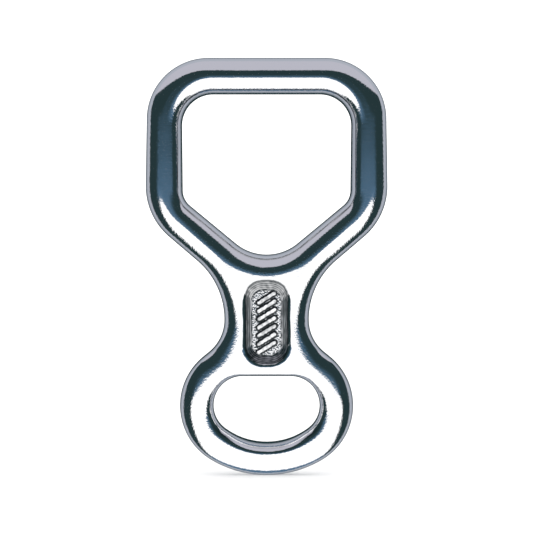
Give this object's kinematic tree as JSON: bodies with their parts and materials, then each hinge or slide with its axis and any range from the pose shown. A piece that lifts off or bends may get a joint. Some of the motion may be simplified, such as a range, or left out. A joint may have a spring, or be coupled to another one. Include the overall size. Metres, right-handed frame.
{
  "type": "figure-eight descender",
  "caption": "Forged figure-eight descender: a squared rope ring with a V foot, a narrow waist with a sunken pad, and a small oval harness eye.",
  "frame": {"origin": "centre of the harness eye, the small lower hole, at mid-thickness", "axes": "+Z along the long axis, from the harness eye to the rope window; X across the width; the front face looks along -Y"},
  "size_m": [0.0724, 0.011, 0.125],
  "materials": {
    "polished_aluminium": "mirror polished, with a grained sunken pad"
  },
  "bodies": {
    "root": {"descender_body": "polished_aluminium"}
  },
  "joints": []
}
